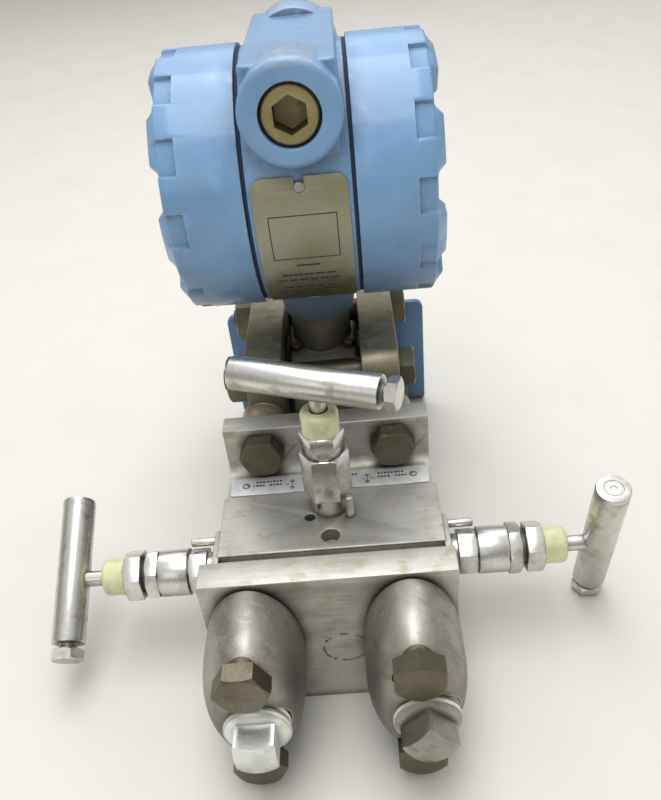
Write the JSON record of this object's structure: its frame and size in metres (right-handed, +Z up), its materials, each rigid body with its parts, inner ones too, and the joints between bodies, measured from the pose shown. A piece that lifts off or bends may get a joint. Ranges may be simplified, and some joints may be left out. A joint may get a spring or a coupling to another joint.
{
  "type": "differential pressure transmitter",
  "caption": "Differential pressure transmitter with a round two-compartment housing, process flanges, valve manifold with T-bar handles, flange adapters and a mounting bracket.",
  "frame": {"origin": "middle of the manifold's rear flange at its foot, on the resting surface", "axes": "+Z up, +X along the housing axis to the right seen from the process side, -Y towards the flange adapters"},
  "size_m": [0.2156, 0.2843, 0.199],
  "materials": {
    "adapter_casting": "dark pewter casting, smooth",
    "black_oxide": "blackened steel, rubbed",
    "blue_paint": "light steel-blue enamel, scuffed and grimed",
    "board_green": "circuit board",
    "bracket_paint": "blue enamel, chipped at the edges",
    "bright_zinc": "bright zinc",
    "cap_plastic": "translucent yellow-green",
    "cast_flange": "dull cast stainless steel with grime",
    "dark_sensor": "dark welded steel, grimed",
    "label_film": "grey printed plate",
    "machined_stainless": "milled stainless steel, satin with scratches",
    "nameplate_steel": "dull stainless sheet",
    "polished_stainless": "turned stainless steel, lightly pitted",
    "ptfe": "white thread tape, frayed",
    "ptfe_packing": "packing",
    "rubber": "black",
    "speckled_zinc": "yellow zinc, speckled and browned",
    "terminal_plastic": "black moulding",
    "yellow_zinc": "yellow zinc, dull"
  },
  "bodies": {
    "transmitter": {"adapter_bolts": "speckled_zinc", "amplifier_board": "board_green", "board_posts": "polished_stainless", "body_bolts": "speckled_zinc", "body_nuts": "speckled_zinc", "bonnet_lock_nuts": "polished_stainless", "bracket_bolts": "speckled_zinc", "calibration_board": "board_green", "conduit_plug": "yellow_zinc", "equalizing_valve_bonnet": "polished_stainless", "equalizing_valve_dust_cap": "cap_plastic", "equalizing_valve_gland_nut": "polished_stainless", "fill_plugs": "yellow_zinc", "housing_body": "blue_paint", "isolating_diaphragms": "polished_stainless", "label_plate": "label_film", "label_rivets": "polished_stainless", "left_flange_adapter": "adapter_casting", "left_pipe_plug": "bright_zinc", "left_process_flange": "cast_flange", "left_valve_bonnet": "polished_stainless", "left_valve_dust_cap": "cap_plastic", "left_valve_gland_nut": "polished_stainless", "lock_pins": "polished_stainless", "manifold_body": "machined_stainless", "manifold_bolts": "speckled_zinc", "module_seals": "rubber", "mounting_bracket": "bracket_paint", "nameplate": "nameplate_steel", "nameplate_rivets": "polished_stainless", "process_gaskets": "ptfe_packing", "right_flange_adapter": "adapter_casting", "right_pipe_plug": "black_oxide", "right_process_flange": "cast_flange", "right_valve_bonnet": "polished_stainless", "right_valve_dust_cap": "cap_plastic", "right_valve_gland_nut": "polished_stainless", "sensor_module": "dark_sensor", "stem_packings": "ptfe_packing", "terminal_block": "terminal_plastic", "terminal_screws": "polished_stainless", "thread_tape": "ptfe"},
    "left_valve_needle": {"left_valve_needle": "polished_stainless"},
    "left_valve_spindle": {"left_valve_stem": "polished_stainless", "left_valve_handle_bar": "polished_stainless", "left_valve_handle_screw": "polished_stainless"},
    "right_valve_needle": {"right_valve_needle": "polished_stainless"},
    "right_valve_spindle": {"right_valve_stem": "polished_stainless", "right_valve_handle_bar": "polished_stainless", "right_valve_handle_screw": "polished_stainless"},
    "equalizing_valve_needle": {"equalizing_valve_needle": "polished_stainless"},
    "equalizing_valve_spindle": {"equalizing_valve_stem": "polished_stainless", "equalizing_valve_handle_bar": "polished_stainless", "equalizing_valve_handle_screw": "polished_stainless"},
    "left_cover_ring": {"left_cover_seal": "rubber"},
    "left_cover": {"left_cover": "blue_paint"},
    "right_cover_ring": {"right_cover_seal": "rubber"},
    "right_cover": {"right_cover": "blue_paint"}
  },
  "joints": [
    {"name": "left_valve_lift", "type": "slide", "parent": "transmitter", "child": "left_valve_needle", "axis": [-1, 0, 0], "range_m": [-0.001, 0.004]},
    {"name": "left_valve_turn", "type": "hinge", "parent": "left_valve_needle", "child": "left_valve_spindle", "pos_m": [-0.043, -0.051, 0.0324], "axis": [-1, 0, 0], "range_deg": [-288, 1152]},
    {"name": "right_valve_lift", "type": "slide", "parent": "transmitter", "child": "right_valve_needle", "axis": [1, 0, 0], "range_m": [-0.001, 0.004]},
    {"name": "right_valve_turn", "type": "hinge", "parent": "right_valve_needle", "child": "right_valve_spindle", "pos_m": [0.043, -0.051, 0.0324], "axis": [1, 0, 0], "range_deg": [-288, 1152]},
    {"name": "equalizing_valve_lift", "type": "slide", "parent": "transmitter", "child": "equalizing_valve_needle", "axis": [0, 0, 1], "range_m": [-0.0003, 0.0047]},
    {"name": "equalizing_valve_turn", "type": "hinge", "parent": "equalizing_valve_needle", "child": "equalizing_valve_spindle", "pos_m": [0, -0.03, 0.0427], "axis": [0, 0, 1], "range_deg": [-86.4, 1353.6]},
    {"name": "left_cover_travel", "type": "slide", "parent": "transmitter", "child": "left_cover_ring", "axis": [-1, 0, 0], "range_m": [0, 0.018]},
    {"name": "left_cover_turn", "type": "hinge", "parent": "left_cover_ring", "child": "left_cover", "pos_m": [0, 0.0577, 0.144], "axis": [-1, 0, 0], "range_deg": [0, 3240]},
    {"name": "right_cover_travel", "type": "slide", "parent": "transmitter", "child": "right_cover_ring", "axis": [1, 0, 0], "range_m": [0, 0.018]},
    {"name": "right_cover_turn", "type": "hinge", "parent": "right_cover_ring", "child": "right_cover", "pos_m": [0, 0.0577, 0.144], "axis": [1, 0, 0], "range_deg": [0, 3240]}
  ],
  "couplings": [
    {"joint": "left_valve_lift", "follows": "left_valve_turn", "m_per_rad": 0.00019894},
    {"joint": "right_valve_lift", "follows": "right_valve_turn", "m_per_rad": 0.00019894},
    {"joint": "equalizing_valve_lift", "follows": "equalizing_valve_turn", "m_per_rad": 0.00019894},
    {"joint": "left_cover_travel", "follows": "left_cover_turn", "m_per_rad": 0.00031831},
    {"joint": "right_cover_travel", "follows": "right_cover_turn", "m_per_rad": 0.00031831}
  ]
}
